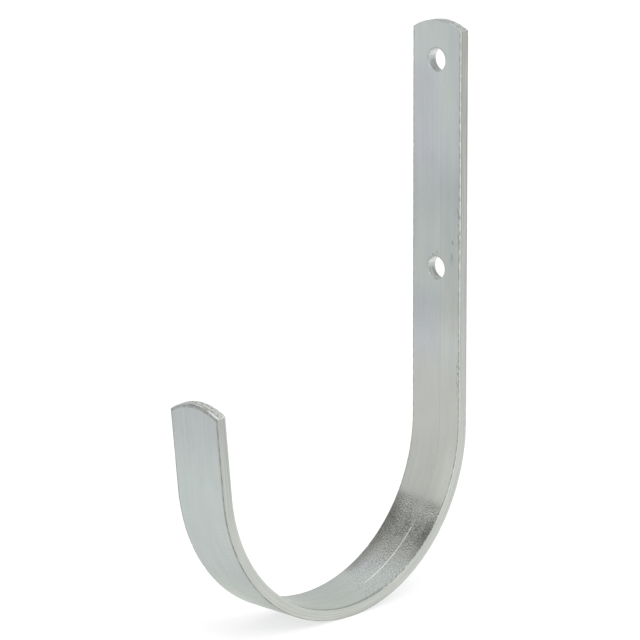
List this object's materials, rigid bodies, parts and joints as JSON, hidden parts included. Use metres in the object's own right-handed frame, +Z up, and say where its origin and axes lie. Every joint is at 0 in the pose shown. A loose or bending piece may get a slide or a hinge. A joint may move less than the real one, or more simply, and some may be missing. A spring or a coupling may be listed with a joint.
{
  "type": "garage utility hook",
  "caption": "J-shaped garage hook bent from a flat zinc-plated steel strip, with screw holes in its back leg and crowned ends, for hanging hoses, ladders and tools on a wall.",
  "frame": {"origin": "on the wall plane, at the back face of the leg, midway between the two screw holes", "axes": "+Z up along the back leg, +Y into the wall, so the hook stands out towards -Y, and +X across the strip"},
  "size_m": [0.02, 0.1074, 0.1785],
  "materials": {
    "zinc_plated_steel": "bright zinc plate with a clear blue passivate, satin"
  },
  "bodies": {
    "root": {"hook": "zinc_plated_steel"}
  },
  "joints": []
}
